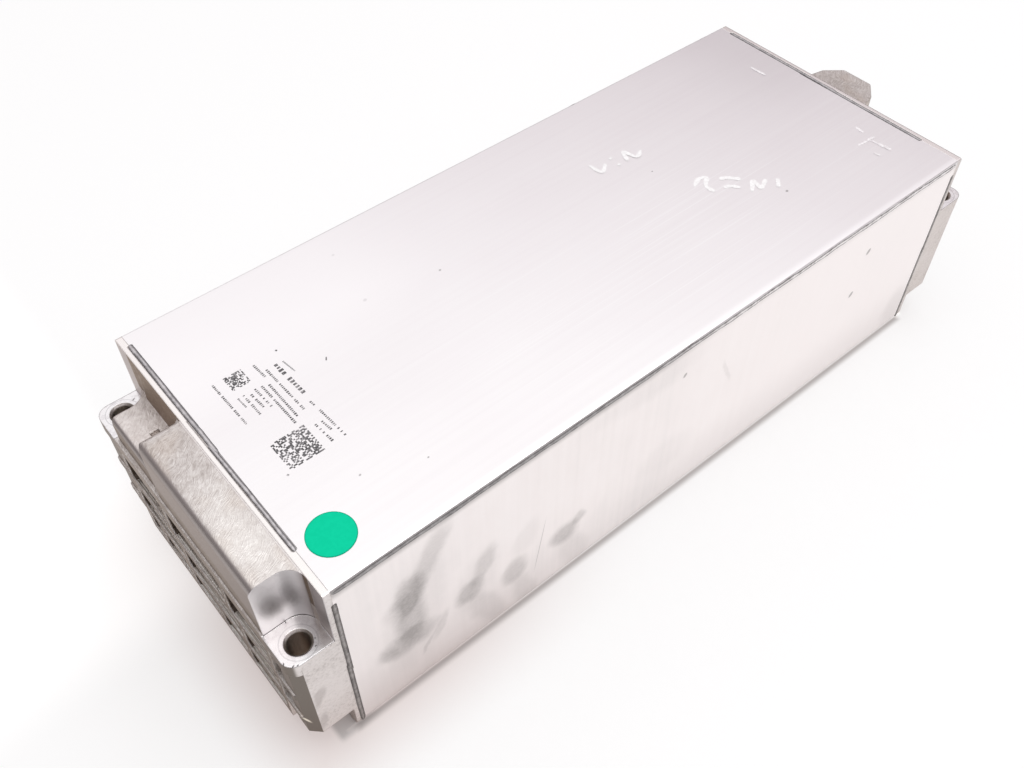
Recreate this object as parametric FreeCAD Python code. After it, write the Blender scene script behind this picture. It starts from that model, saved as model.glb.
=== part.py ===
import FreeCAD, Part
import math
import os

# Traction battery module: twelve pouch cells in a welded aluminium housing with two die-cast end plates.
# Millimetres. X runs along the module, Z is up, and the origin is the middle of the underside.
# The near end is at -X. The bolt lugs stand at the four corners, outside the welded housing.

os.makedirs("parts", exist_ok=True)

# How far a cutting tool passes the face that it opens, or a raised part is rooted in the wall behind it
overrun = 1.0

# Pouch cells
cell_count = 12
cells_per_group = 2
cell_thickness = 11.2
cell_height = 97.0
cell_length = 308.0
cell_edge_bevel = 2.0
seal_length = 4.0
seal_thickness = 1.0
tab_height = 44.0
tab_thickness = 0.8

# Pads, films and sheets round the cells
pair_pad_thickness = 1.4
side_pad_thickness = 1.3
side_film_thickness = 0.5
gap_filler_thickness = 1.6
top_pad_thickness = 3.4
top_sheet_thickness = 1.5
pad_inset = 2.0

# Tab carriers, busbars and end insulators
carrier_gap = 1.5
carrier_thickness = 5.0
carrier_slot_clearance = 0.5
busbar_thickness = 2.5
busbar_margin = 2.6
busbar_overlap = 3.0
tab_fit = 0.1
tab_proud = 0.5
busbar_room = 7.0
insulator_wall = 1.5
insulator_gap = 0.5

# Sensing strip, temperature sensors and signal socket
strip_thickness = 0.4
strip_width = 20.0
strip_clearance = 0.5
sense_bar_height = 3.0
sensor_length = 9.0
sensor_width = 6.0
sensor_thickness = 1.8
sensor_spacing = 150.0
socket_width = 28.0
socket_height = 12.0
socket_wall = 1.5
socket_depth = 14.0
socket_reach = 7.0
pin_rows = 2
pins_per_row = 6
pin_pitch = 3.6
pin_size = 0.8
pin_length = 8.0

# Terminals and their insulating collars
terminal_offset = 44.0
post_width = 14.0
post_height = 12.0
post_reach = 11.0
thread_radius = 2.5
thread_depth = 12.0
collar_wall = 2.0
flange_width = 3.0
flange_thickness = 2.0

# Housing
side_wall = 2.5
floor_thickness = 3.0
cover_thickness = 2.0
bottom_radius = 6.0
inner_bottom_radius = 1.5
top_edge_radius = 0.8

# End plates
base_wall = 5.5
rim_thickness = 3.0
spigot_depth = 8.0
spigot_wall = 2.5
fit_clearance = 0.2
lug_gap = 0.5
lug_bottom = 18.0
lug_drop = 31.5
lug_reach = 19.0
lug_corner_radius = 5.5
lug_relief = 0.7
lug_outer_bevel = 4.0
lug_inner_bevel = 7.0
bolt_radius = 4.5
bolt_stand_off = 10.0
bolt_inset = 7.8
bolt_chamfer = 0.9
pocket_corner_radius = 8.0

# Shelves and ribs of the end plates. The rows of pockets between the shelves go from the top down,
# and each row has its own upright ribs.
head_thickness = 7.5
shelf_thickness = 4.0
sill_thickness = 3.0
rib_thickness = 2.4
rib_draft = 0.6
rib_field_floor = 2.0
rib_corner = 2.0
pocket_heights = (19.0, 15.8, 13.2)
near_rib_stations = ((-24.0, 22.0), (-30.0, 17.0), (-28.0, -6.0, 19.0, 44.0))
far_rib_stations = ((-22.0, 24.0), (-17.0, 30.0), (-44.0, -19.0, 6.0, 28.0))

# Raised blocks on top of the near end plate
block_left = 22.5
block_reach = 18.2
block_drop = 0.3
block_corner_radius = 3.5
block_root_radius = 3.5
block_front_radius = 4.0
block_side_radius = 1.8
step_drop = 20.0
step_reach = 17.4
step_corner_radius = 2.5
step_front_radius = 3.0
draft_foot = 0.9
slot_from_rim = 6.4
slot_from_block = 17.7
slot_width = 3.7
slot_length = 9.0
slot_depth = 3.0

# Hood over the signal socket on the far end plate
hood_drop = 2.0
hood_root_half = 17.4
hood_cheek = 10.0
hood_cheek_half = 15.5
hood_reach = 18.6
hood_nose_half = 8.4
hood_corner_radius = 1.5
hood_gap = 1.0

# Weld seams
seam_width = 2.2
seam_depth = 0.4
seam_proud = 0.2
seam_shift = 0.35
seam_lap = 3.0
top_seam_right_gap = 20.7
top_seam_left_gap = 6.7
top_seam_lap = 17.0
side_seam_bottom = 3.5
side_seam_top_gap = 8.5
side_seam_lap = 52.0
long_seam_end = 1.6

# Green dot sticker on the cover
sticker_radius = 9.2
sticker_thickness = 0.15
sticker_from_end = 15.8
sticker_from_side = 18.4

# Places worked out across the module
group_count = cell_count // cells_per_group
group_width = cells_per_group * cell_thickness
group_pitch = group_width + pair_pad_thickness
stack_width = group_count * group_width + (group_count - 1) * pair_pad_thickness
inner_half = stack_width / 2 + side_pad_thickness + side_film_thickness
outer_half = inner_half + side_wall

# Places worked out upwards
cell_bottom = floor_thickness + gap_filler_thickness
cell_top = cell_bottom + cell_height
cell_middle = cell_bottom + cell_height / 2
tray_top = cell_top + top_pad_thickness + top_sheet_thickness
housing_top = tray_top + cover_thickness
lug_top = housing_top - lug_drop
step_top = housing_top - step_drop
block_top = housing_top - block_drop
hood_top = housing_top - hood_drop
busbar_bottom = cell_middle - tab_height / 2 - busbar_overlap
busbar_top = cell_middle + tab_height / 2 + busbar_overlap + sense_bar_height

# Places worked out along the module, from the middle towards one end
cell_end = cell_length / 2
seal_end = cell_end + seal_length
carrier_inner = seal_end + carrier_gap
carrier_outer = carrier_inner + carrier_thickness
busbar_outer = carrier_outer + busbar_thickness
tab_end = busbar_outer + tab_proud
strip_outer = busbar_outer + strip_thickness
insulator_inner = carrier_outer + busbar_room
insulator_outer = insulator_inner + insulator_wall
wall_inner = insulator_outer + insulator_gap
rim_face = wall_inner + base_wall
joint = rim_face - rim_thickness
spigot_end = joint - spigot_depth
lug_face = rim_face + lug_reach

# Bolt holes. They stand as far from the rim as from the wall of the wrench pocket over each lug.
bolt_x = rim_face + bolt_stand_off
bolt_y = outer_half - bolt_inset
pocket_wall = bolt_y - bolt_stand_off

# Rows of pockets as (low, high), from the top down, and the underside of the sill below them
pocket_rows = []
shelf_low = lug_top - head_thickness
for pocket_height in pocket_heights:
    pocket_rows.append((shelf_low - pocket_height, shelf_low))
    shelf_low -= pocket_height + shelf_thickness
sill_bottom = pocket_rows[-1][0] - sill_thickness
field_half = pocket_wall + rib_thickness / 2

# Terminal posts and socket, set just above the lug tops
post_z = lug_top + post_height / 2 + collar_wall + flange_width + 2 * fit_clearance + lug_gap
socket_z = lug_top + socket_height / 2 + flange_width + lug_gap
hood_bottom = socket_z + socket_height / 2 + flange_width + hood_gap


def vec(x, y, z):
    return FreeCAD.Vector(x, y, z)


def block(x0, x1, y0, y1, z0, z1):
    """Box between two opposite corners, given in any order."""
    low = vec(min(x0, x1), min(y0, y1), min(z0, z1))
    return Part.makeBox(abs(x1 - x0), abs(y1 - y0), abs(z1 - z0), low)


def rounded_face(corners, place):
    """Flat face inside a polygon of (a, b, radius) corners, each rounded by a tangent arc."""
    stretches = []
    for index, (a, b, radius) in enumerate(corners):
        here = vec(a, b, 0)
        before = vec(*corners[index - 1][:2], 0)
        after = vec(*corners[(index + 1) % len(corners)][:2], 0)
        if radius <= 0:
            stretches.append([here])
            continue
        back = (before - here).normalize()
        ahead = (after - here).normalize()
        half = back.getAngle(ahead) / 2
        inward = (back + ahead).normalize()
        middle = here + inward * (radius / math.sin(half) - radius)
        run = radius / math.tan(half)
        stretches.append([here + back * run, middle, here + ahead * run])
    edges = []
    for index, stretch in enumerate(stretches):
        following = stretches[(index + 1) % len(stretches)]
        points = [place(point.x, point.y) for point in stretch]
        if len(points) == 3:
            edges.append(Part.Arc(*points).toShape())
        start = points[-1]
        finish = place(following[0].x, following[0].y)
        if (finish - start).Length > 1e-6:
            edges.append(Part.LineSegment(start, finish).toShape())
    return Part.Face(Part.Wire(edges))


def upright(corners, x0, x1):
    """Prism along X between two planes, from an outline in Y and Z."""
    solid = rounded_face(corners, lambda y, z: vec(x0, y, z)).extrude(vec(x1 - x0, 0, 0))
    return solid if solid.Volume > 0 else solid.reversed()


def standing(corners, side, z0, z1):
    """Prism along Z at one end, from an outline in reach beyond the rim face and Y."""
    face = rounded_face(corners, lambda reach, y: vec(side * (rim_face + reach), y, z0))
    solid = face.extrude(vec(0, 0, z1 - z0))
    return solid if solid.Volume > 0 else solid.reversed()


def rectangle(half_width, z0, z1, low_radius=0.0, high_radius=0.0):
    """Corners of a rectangle in Y and Z that is centred on Y = 0."""
    return [
        (-half_width, z0, low_radius),
        (half_width, z0, low_radius),
        (half_width, z1, high_radius),
        (-half_width, z1, high_radius),
    ]


def cut_corners(a0, a1, b0, b1, cut):
    """Outline of a rectangle whose corners are cut off at 45 degrees, as rounded_face takes it."""
    return [
        (a0 + cut, b0, 0),
        (a1 - cut, b0, 0),
        (a1, b0 + cut, 0),
        (a1, b1 - cut, 0),
        (a1 - cut, b1, 0),
        (a0 + cut, b1, 0),
        (a0, b1 - cut, 0),
        (a0, b0 + cut, 0),
    ]


def tapered_prism(mouth, floor):
    """Solid with flat sides between two rings of points, whose edges run parallel pair by pair."""
    rings = [mouth, floor]
    for index in range(len(mouth)):
        following = (index + 1) % len(mouth)
        rings.append([mouth[index], mouth[following], floor[following], floor[index]])
    faces = [Part.Face(Part.makePolygon([*ring, ring[0]])) for ring in rings]
    solid = Part.makeSolid(Part.makeShell(faces))
    return solid if solid.Volume > 0 else solid.reversed()


def save(name, shape):
    shape.exportStep(os.path.join("parts", name + ".step"))


def group_centre(group):
    """Y of the middle of a parallel group of cells."""
    return (group - (group_count - 1) / 2) * group_pitch


def cell_centre(cell):
    """Y of the middle plane of a cell."""
    group, place = divmod(cell, cells_per_group)
    return group_centre(group) + (place - (cells_per_group - 1) / 2) * cell_thickness


# Pouch cells: one laminate bag each, with a flat seal and one tab at either end
def pouch_cell(cell):
    y = cell_centre(cell)
    half = cell_thickness / 2
    bevel = min(cell_edge_bevel, half - seal_thickness / 2)
    body = upright(cut_corners(y - half, y + half, cell_bottom, cell_top, bevel), -cell_end, cell_end)
    seal_low = cell_bottom + bevel
    seal_high = cell_top - bevel
    seal = block(-seal_end, seal_end, y - seal_thickness / 2, y + seal_thickness / 2, seal_low, seal_high)
    tab_low = cell_middle - tab_height / 2
    tab_half = tab_thickness / 2
    tab = block(-tab_end, tab_end, y - tab_half, y + tab_half, tab_low, tab_low + tab_height)
    return body.fuse([seal, tab]).removeSplitter()


# Foam pads: one between neighbouring pairs of cells, and one at each side of the stack
def foam_pad(y0, y1):
    half = cell_end - pad_inset
    return block(-half, half, y0, y1, cell_bottom + pad_inset, cell_top - pad_inset)


def tab_carrier(side):
    """Moulded plate that the tabs pass through and the busbars lie on."""
    half = inner_half - side_film_thickness - fit_clearance
    plate = block(side * carrier_inner, side * carrier_outer, -half, half, cell_bottom, cell_top)
    slots = []
    for cell in range(cell_count):
        y = cell_centre(cell)
        wide = tab_thickness / 2 + carrier_slot_clearance
        tall = tab_height / 2 + carrier_slot_clearance
        slots.append(block(side * (carrier_inner - overrun), side * (carrier_outer + overrun),
                           y - wide, y + wide, cell_middle - tall, cell_middle + tall))
    return plate.cut(slots)


def tab_slots(side, cells):
    """Close slots in a busbar, one for each tab."""
    slots = []
    for cell in cells:
        y = cell_centre(cell)
        wide = tab_thickness / 2 + tab_fit
        tall = tab_height / 2 + tab_fit
        slots.append(block(side * (carrier_outer - overrun), side * (busbar_outer + overrun),
                           y - wide, y + wide, cell_middle - tall, cell_middle + tall))
    return slots


def group_cells(group):
    return range(group * cells_per_group, (group + 1) * cells_per_group)


def busbar(side, first_group):
    """Link between two neighbouring groups, welded to their tabs."""
    cells = [*group_cells(first_group), *group_cells(first_group + 1)]
    y0 = cell_centre(cells[0]) - busbar_margin
    y1 = cell_centre(cells[-1]) + busbar_margin
    plate = block(side * carrier_outer, side * busbar_outer, y0, y1, busbar_bottom, busbar_top)
    return plate.cut(tab_slots(side, cells))


def terminal(direction):
    """End busbar with an arm above the links and a threaded post through the end plate."""
    cells = list(group_cells(0 if direction < 0 else group_count - 1))
    low = min(cell_centre(cell) for cell in cells) - busbar_margin
    high = max(cell_centre(cell) for cell in cells) + busbar_margin
    post_y = direction * terminal_offset
    arm_low = post_z - post_height / 2
    arm_high = post_z + post_height / 2
    plate = block(carrier_outer, busbar_outer, low, high, busbar_bottom, arm_high)
    inner_end = post_y - direction * post_width / 2
    outer_end = direction * max(abs(low), abs(high))
    arm = block(carrier_outer, busbar_outer, outer_end, inner_end, arm_low, arm_high)
    tip = rim_face + post_reach
    post = block(carrier_outer, tip, post_y - post_width / 2, post_y + post_width / 2, arm_low, arm_high)
    thread_foot = vec(tip - thread_depth, post_y, post_z)
    thread = Part.makeCylinder(thread_radius, thread_depth + overrun, thread_foot, vec(1, 0, 0))
    return plate.fuse([arm, post]).removeSplitter().cut(tab_slots(1, cells)).cut(thread)


def frame_box(x0, x1, y, z, width, height):
    return block(x0, x1, y - width / 2, y + width / 2, z - height / 2, z + height / 2)


def terminal_window(x0, x1, direction):
    """Opening for a terminal's collar."""
    extra = 2 * collar_wall + 4 * fit_clearance
    return frame_box(x0, x1, direction * terminal_offset, post_z, post_width + extra, post_height + extra)


def collar(direction):
    """Moulded sleeve with a flange, between a terminal post and the end plate."""
    y = direction * terminal_offset
    bore_wide = post_width + 2 * fit_clearance
    bore_tall = post_height + 2 * fit_clearance
    wide = bore_wide + 2 * collar_wall
    tall = bore_tall + 2 * collar_wall
    sleeve = frame_box(wall_inner, rim_face, y, post_z, wide, tall)
    face = rim_face + flange_thickness
    flange = frame_box(rim_face, face, y, post_z, wide + 2 * flange_width, tall + 2 * flange_width)
    bore = frame_box(wall_inner - overrun, face + overrun, y, post_z, bore_wide, bore_tall)
    return sleeve.fuse(flange).removeSplitter().cut(bore)


def signal_socket():
    """Plug socket with a mounting flange, open outwards."""
    tip = rim_face + socket_reach
    body = frame_box(strip_outer, tip, 0, socket_z, socket_width, socket_height)
    flange = frame_box(rim_face, rim_face + flange_thickness, 0, socket_z,
                       socket_width + 2 * flange_width, socket_height + 2 * flange_width)
    inside = frame_box(tip - socket_depth, tip + overrun, 0, socket_z,
                       socket_width - 2 * socket_wall, socket_height - 2 * socket_wall)
    return body.fuse(flange).removeSplitter().cut(inside)


def connector_pins():
    """Square pins that stand on the socket's back wall."""
    root = rim_face + socket_reach - socket_depth
    pins = []
    for row in range(pin_rows):
        for column in range(pins_per_row):
            y = (column - (pins_per_row - 1) / 2) * pin_pitch
            z = socket_z + (row - (pin_rows - 1) / 2) * pin_pitch
            pins.append(frame_box(root, root + pin_length, y, z, pin_size, pin_size))
    return Part.makeCompound(pins)


def end_insulator(side):
    """Shallow moulded tray over the busbars, inside the end plate's spigot."""
    half = inner_half - spigot_wall - 2 * fit_clearance
    low = floor_thickness + spigot_wall + 2 * fit_clearance
    high = tray_top - spigot_wall - 2 * fit_clearance
    shell = block(side * carrier_outer, side * insulator_outer, -half, half, low, high)
    mouth = side * (carrier_outer - overrun)
    cavity_half = half - insulator_wall
    cavity = block(mouth, side * insulator_inner, -cavity_half, cavity_half,
                   low + insulator_wall, high - insulator_wall)
    notch_half = strip_width / 2 + strip_clearance
    notch = block(mouth, side * (strip_outer + strip_clearance), -notch_half, notch_half,
                  cell_top - strip_clearance, high + overrun)
    shell = shell.cut([cavity, notch])
    if side > 0:
        back = insulator_inner - overrun
        front = insulator_outer + overrun
        for direction in (-1, 1):
            shell = shell.cut(frame_box(back, front, direction * terminal_offset, post_z,
                                        post_width + 2 * fit_clearance, post_height + 2 * fit_clearance))
        shell = shell.cut(frame_box(back, front, 0, socket_z,
                                    socket_width + 2 * fit_clearance, socket_height + 2 * fit_clearance))
    return shell


def sensing_strip():
    """Flat circuit along the cell tops, down over both sets of busbars to a cross bar."""
    half = strip_width / 2
    pieces = [block(-strip_outer, strip_outer, -half, half, cell_top, cell_top + strip_thickness)]
    bar_bottom = busbar_top - sense_bar_height
    bar_half = cell_centre(cell_count - 1)
    for side in (-1, 1):
        back = side * busbar_outer
        front = side * strip_outer
        pieces.append(block(back, front, -half, half, bar_bottom, cell_top))
        pieces.append(block(back, front, -bar_half, bar_half, bar_bottom, busbar_top))
    return pieces[0].fuse(pieces[1:]).removeSplitter()


def temperature_sensors():
    low = cell_top + strip_thickness
    beads = []
    for side in (-1, 1):
        middle = side * sensor_spacing / 2
        beads.append(block(middle - sensor_length / 2, middle + sensor_length / 2,
                           -sensor_width / 2, sensor_width / 2, low, low + sensor_thickness))
    return Part.makeCompound(beads)


def top_pad():
    """Foam sheet on the cell tops, with a channel for the sensing strip and its sensors."""
    half = inner_half - side_film_thickness - fit_clearance
    pad = block(-carrier_outer, carrier_outer, -half, half, cell_top, cell_top + top_pad_thickness)
    channel_half = strip_width / 2 + strip_clearance
    channel = block(-carrier_outer - overrun, carrier_outer + overrun, -channel_half, channel_half,
                    cell_top - overrun, cell_top + strip_thickness)
    wells = []
    for side in (-1, 1):
        middle = side * sensor_spacing / 2
        reach = sensor_length / 2 + strip_clearance
        wells.append(block(middle - reach, middle + reach, -sensor_width / 2 - strip_clearance,
                           sensor_width / 2 + strip_clearance, cell_top,
                           cell_top + strip_thickness + sensor_thickness))
    return pad.cut([channel, *wells])


# Weld seams: each is two passes that lap, sunk in a groove and slightly proud of the sheets
def seam_strip(start, finish, offset, place, normal):
    """One pass, with blunt ends, from its run, its sideways offset and a placing rule."""
    half = seam_width / 2
    face = rounded_face(cut_corners(start, finish, offset - half, offset + half, half / 2), place)
    solid = face.extrude(normal * (seam_depth + seam_proud))
    return solid if solid.Volume > 0 else solid.reversed()


def two_passes(start, lap, finish, place, normal):
    first = seam_strip(start, lap + seam_lap, -seam_shift / 2, place, normal)
    second = seam_strip(lap - seam_lap, finish, seam_shift / 2, place, normal)
    return first.fuse(second).removeSplitter()


def end_seams(side):
    """Seams round one end: across the top and up both sides."""
    top_z = housing_top - seam_depth
    top = two_passes(top_seam_right_gap - outer_half, top_seam_lap, outer_half - top_seam_left_gap,
                     lambda run, across: vec(side * joint + across, run, top_z), vec(0, 0, 1))
    seams = [top]
    for direction in (-1, 1):
        face_y = direction * (outer_half - seam_depth)
        seams.append(two_passes(side_seam_bottom, side_seam_lap, housing_top - side_seam_top_gap,
                                lambda run, across: vec(side * joint + across, face_y, run),
                                vec(0, direction, 0)))
    return Part.makeCompound(seams)


def long_seams():
    """Seams along both long edges, between the cover and the tray."""
    end = joint - long_seam_end
    seams = []
    for direction in (-1, 1):
        face_y = direction * (outer_half - seam_depth)
        seams.append(seam_strip(-end, end, tray_top, lambda run, across: vec(run, face_y, across),
                                vec(0, direction, 0)))
    return Part.makeCompound(seams)


# Tray: one folded and drawn channel, floor and two sides
def housing_tray():
    outside = upright(rectangle(outer_half, 0, tray_top, bottom_radius), -joint, joint)
    channel = rectangle(inner_half, floor_thickness, tray_top + overrun, inner_bottom_radius)
    inside = upright(channel, -joint - overrun, joint + overrun)
    return outside.cut(inside)


def cover_plate():
    return upright(rectangle(outer_half, tray_top, housing_top, 0, top_edge_radius), -joint, joint)


# End plates
def plate_body(side):
    """Rim, spigot, shelves and lug columns."""
    rim = upright(rectangle(outer_half, 0, housing_top, bottom_radius, top_edge_radius),
                  side * joint, side * rim_face)
    spigot_half = inner_half - fit_clearance
    spigot_low = floor_thickness + fit_clearance
    spigot_high = tray_top - fit_clearance
    spigot = upright(rectangle(spigot_half, spigot_low, spigot_high, inner_bottom_radius + fit_clearance),
                     side * spigot_end, side * joint)
    hollow_half = spigot_half - spigot_wall
    hollow = block(side * (spigot_end - overrun), side * wall_inner, -hollow_half, hollow_half,
                   spigot_low + spigot_wall, spigot_high - spigot_wall)
    return rim.fuse([spigot, *shelves(side), *lug_columns(side)]).cut(hollow)


def shelves(side):
    """Block that the pockets are cut in, and the head and shelves that run on over the lug columns."""
    head = [
        (-rim_thickness / 2, -outer_half, 0),
        (lug_reach, -outer_half, lug_corner_radius),
        (lug_reach, outer_half, lug_corner_radius),
        (-rim_thickness / 2, outer_half, 0),
    ]
    bevel = lug_outer_bevel + lug_relief
    shelf = [
        (-rim_thickness / 2, -outer_half, 0),
        (lug_reach - bevel, -outer_half, 0),
        (lug_reach, bevel - outer_half, 0),
        (lug_reach, outer_half - bevel, 0),
        (lug_reach - bevel, outer_half, 0),
        (-rim_thickness / 2, outer_half, 0),
    ]
    pieces = [
        block(side * (rim_face - rim_thickness / 2), side * lug_face, -field_half, field_half,
              sill_bottom, lug_top),
        standing(head, side, lug_top - head_thickness, lug_top),
    ]
    for above, below in zip(pocket_rows, pocket_rows[1:]):
        pieces.append(standing(shelf, side, below[1], above[0]))
    return pieces


def lug_columns(side):
    """Columns round the bolt holes, set back a little from the shelves and bevelled on both edges."""
    reach = lug_reach - lug_relief
    columns = []
    for direction in (-1, 1):
        outline = [
            (-rim_thickness / 2, direction * outer_half, 0),
            (reach - lug_outer_bevel, direction * outer_half, 0),
            (reach, direction * (outer_half - lug_outer_bevel), 0),
            (reach, direction * (pocket_wall + lug_inner_bevel), 0),
            (reach - lug_inner_bevel, direction * pocket_wall, 0),
            (-rim_thickness / 2, direction * pocket_wall, 0),
        ]
        columns.append(standing(outline, side, lug_bottom, lug_top - head_thickness / 2))
    return columns


def rib_pockets(side, stations):
    """Drafted pockets that leave the shelves and upright ribs, in rows between the two lug columns."""
    pockets = []
    depth = lug_reach - rib_field_floor
    for (low, high), row_stations in zip(pocket_rows, stations):
        walls = [-pocket_wall, *row_stations, pocket_wall]
        for left, right in zip(walls, walls[1:]):
            rings = []
            for reach in (depth + overrun, 0):
                inset = rib_draft * (1 - reach / depth)
                outline = cut_corners(left + rib_thickness / 2 + inset, right - rib_thickness / 2 - inset,
                                      low + inset, high - inset, rib_corner)
                x = side * (rim_face + rib_field_floor + reach)
                rings.append([vec(x, y, z) for y, z, radius in outline])
            pockets.append(tapered_prism(*rings))
    return pockets


def bolt_holes(side):
    tools = []
    for direction in (-1, 1):
        foot = vec(side * bolt_x, direction * bolt_y, lug_bottom - overrun)
        tools.append(Part.makeCylinder(bolt_radius, lug_top - lug_bottom + 2 * overrun, foot))
        mouth = vec(side * bolt_x, direction * bolt_y, lug_top - bolt_chamfer)
        tools.append(Part.makeCone(bolt_radius, bolt_radius + 2 * bolt_chamfer, 2 * bolt_chamfer, mouth))
    return tools


def rounded_prism_y(reach, top, radius, y0, y1):
    """Prism along Y at the near end, whose outer top edge is rounded."""
    corners = [
        (-rim_thickness / 2, lug_bottom, 0),
        (-rim_thickness / 2, top, 0),
        (reach, top, radius),
        (reach, lug_bottom, 0),
    ]
    face = rounded_face(corners, lambda out, z: vec(-rim_face - out, y0, z))
    solid = face.extrude(vec(0, y1 - y0, 0))
    return solid if solid.Volume > 0 else solid.reversed()


def tall_block():
    """Block that is level with the cover, from the right wrench pocket to the step."""
    plan = [
        (-rim_thickness / 2, -outer_half, 0),
        (0, -outer_half, 0),
        (0, -pocket_wall, pocket_corner_radius),
        (block_reach, -pocket_wall, 0),
        (block_reach, block_left, block_corner_radius),
        (-rim_thickness / 2, block_left, 0),
    ]
    solid = standing(plan, -1, lug_top - rib_thickness, block_top)
    solid = solid.common(rounded_prism_y(block_reach, block_top, block_front_radius, -outer_half, block_left))
    side_profile = [
        (-outer_half, lug_bottom, 0),
        (block_left, lug_bottom, 0),
        (block_left, block_top, block_side_radius),
        (-outer_half, block_top, 0),
    ]
    solid = solid.common(upright(side_profile, -lug_face, -rim_face + rim_thickness))
    web_plan = [
        (-rim_thickness / 2, block_left - overrun, 0),
        (block_root_radius, block_left - overrun, 0),
        (block_root_radius, block_left, 0),
        (0, block_left, block_root_radius),
        (0, block_left + block_root_radius, 0),
        (-rim_thickness / 2, block_left + block_root_radius, 0),
    ]
    web = standing(web_plan, -1, step_top - overrun, block_top - block_side_radius)
    return [solid, web]


def step_block():
    """Lower block between the tall one and the left wrench pocket, with a drafted wall behind it."""
    plan = [
        (-rim_thickness / 2, 0, 0),
        (step_reach, 0, 0),
        (step_reach, pocket_wall, step_corner_radius),
        (0, pocket_wall, pocket_corner_radius),
        (0, outer_half, 0),
        (-rim_thickness / 2, outer_half, 0),
    ]
    solid = standing(plan, -1, lug_top - rib_thickness, step_top)
    solid = solid.common(rounded_prism_y(step_reach, step_top, step_front_radius, 0, outer_half))
    draft = Part.Face(Part.makePolygon([
        vec(-rim_face + overrun, block_left, step_top - overrun),
        vec(-rim_face - draft_foot, block_left, step_top - overrun),
        vec(-rim_face, block_left, block_top),
        vec(-rim_face + overrun, block_left, block_top),
        vec(-rim_face + overrun, block_left, step_top - overrun),
    ])).extrude(vec(0, pocket_wall - block_left, 0))
    return [solid, draft]


def step_slot():
    """Blind slot in the step's top, running across the module."""
    middle = -rim_face - slot_from_rim
    finish = block_left + slot_from_block
    return block(middle - slot_width / 2, middle + slot_width / 2, finish - slot_length, finish,
                 step_top - slot_depth, step_top + overrun)


def near_end_plate():
    body = plate_body(-1).fuse(tall_block() + step_block()).removeSplitter()
    return body.cut(rib_pockets(-1, near_rib_stations) + bolt_holes(-1) + [step_slot()])


def far_hood():
    """Half octagon that shelters the signal socket."""
    outline = [
        (-rim_thickness / 2, -hood_root_half, 0),
        (0, -hood_root_half, 0),
        (hood_cheek, -hood_cheek_half, hood_corner_radius),
        (hood_reach, -hood_nose_half, hood_corner_radius),
        (hood_reach, hood_nose_half, hood_corner_radius),
        (hood_cheek, hood_cheek_half, hood_corner_radius),
        (0, hood_root_half, 0),
        (-rim_thickness / 2, hood_root_half, 0),
    ]
    return standing(outline, 1, hood_bottom, hood_top)


def far_end_plate():
    body = plate_body(1).fuse(far_hood()).removeSplitter()
    socket_window = frame_box(wall_inner - overrun, rim_face + overrun, 0, socket_z,
                              socket_width + 2 * fit_clearance, socket_height + 2 * fit_clearance)
    windows = [terminal_window(wall_inner - overrun, rim_face + overrun, direction) for direction in (-1, 1)]
    return body.cut(rib_pockets(1, far_rib_stations) + bolt_holes(1) + windows + [socket_window])


def green_sticker():
    place = vec(-rim_face + sticker_from_end, -outer_half + sticker_from_side, housing_top)
    return Part.makeCylinder(sticker_radius, sticker_thickness, place)


def build():
    near_seams = end_seams(-1)
    far_seams = end_seams(1)
    edge_seams = long_seams()
    all_seams = [*near_seams.Solids, *far_seams.Solids, *edge_seams.Solids]
    save("near_weld_seams", near_seams)
    save("far_weld_seams", far_seams)
    save("long_weld_seams", edge_seams)
    save("housing_tray", housing_tray().cut(all_seams))
    save("cover_plate", cover_plate().cut(all_seams))
    save("near_end_plate", near_end_plate().cut(near_seams.Solids))
    save("far_end_plate", far_end_plate().cut(far_seams.Solids))

    film_low = floor_thickness + inner_bottom_radius
    filler_half = inner_half - inner_bottom_radius
    save("thermal_gap_filler", block(-carrier_outer, carrier_outer, -filler_half, filler_half,
                                     floor_thickness, cell_bottom))
    for name, direction in (("right", -1), ("left", 1)):
        wall = direction * inner_half
        film = direction * (inner_half - side_film_thickness)
        stack = direction * stack_width / 2
        save("side_film_" + name, block(-carrier_outer, carrier_outer, film, wall, film_low, cell_top))
        save("side_pad_" + name, foam_pad(stack, film))
    for cell in range(cell_count):
        save(f"pouch_cell_{cell + 1:02d}", pouch_cell(cell))
    for gap in range(group_count - 1):
        y0 = group_centre(gap) + group_width / 2
        save(f"pair_pad_{gap + 1}", foam_pad(y0, y0 + pair_pad_thickness))

    save("near_tab_carrier", tab_carrier(-1))
    save("far_tab_carrier", tab_carrier(1))
    for number, group in enumerate(range(0, group_count - 1, 2)):
        save(f"near_busbar_{number + 1}", busbar(-1, group))
    for number, group in enumerate(range(1, group_count - 2, 2)):
        save(f"far_busbar_{number + 1}", busbar(1, group))
    save("negative_terminal", terminal(-1))
    save("positive_terminal", terminal(1))
    save("negative_collar", collar(-1))
    save("positive_collar", collar(1))
    save("near_end_insulator", end_insulator(-1))
    save("far_end_insulator", end_insulator(1))

    save("sensing_strip", sensing_strip())
    save("temperature_sensors", temperature_sensors())
    save("signal_socket", signal_socket())
    save("connector_pins", connector_pins())
    save("top_pad", top_pad())
    sheet_half = inner_half - side_film_thickness - fit_clearance
    save("top_sheet", block(-carrier_outer, carrier_outer, -sheet_half, sheet_half,
                            cell_top + top_pad_thickness, tray_top))
    save("green_sticker", green_sticker())


build()
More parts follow.
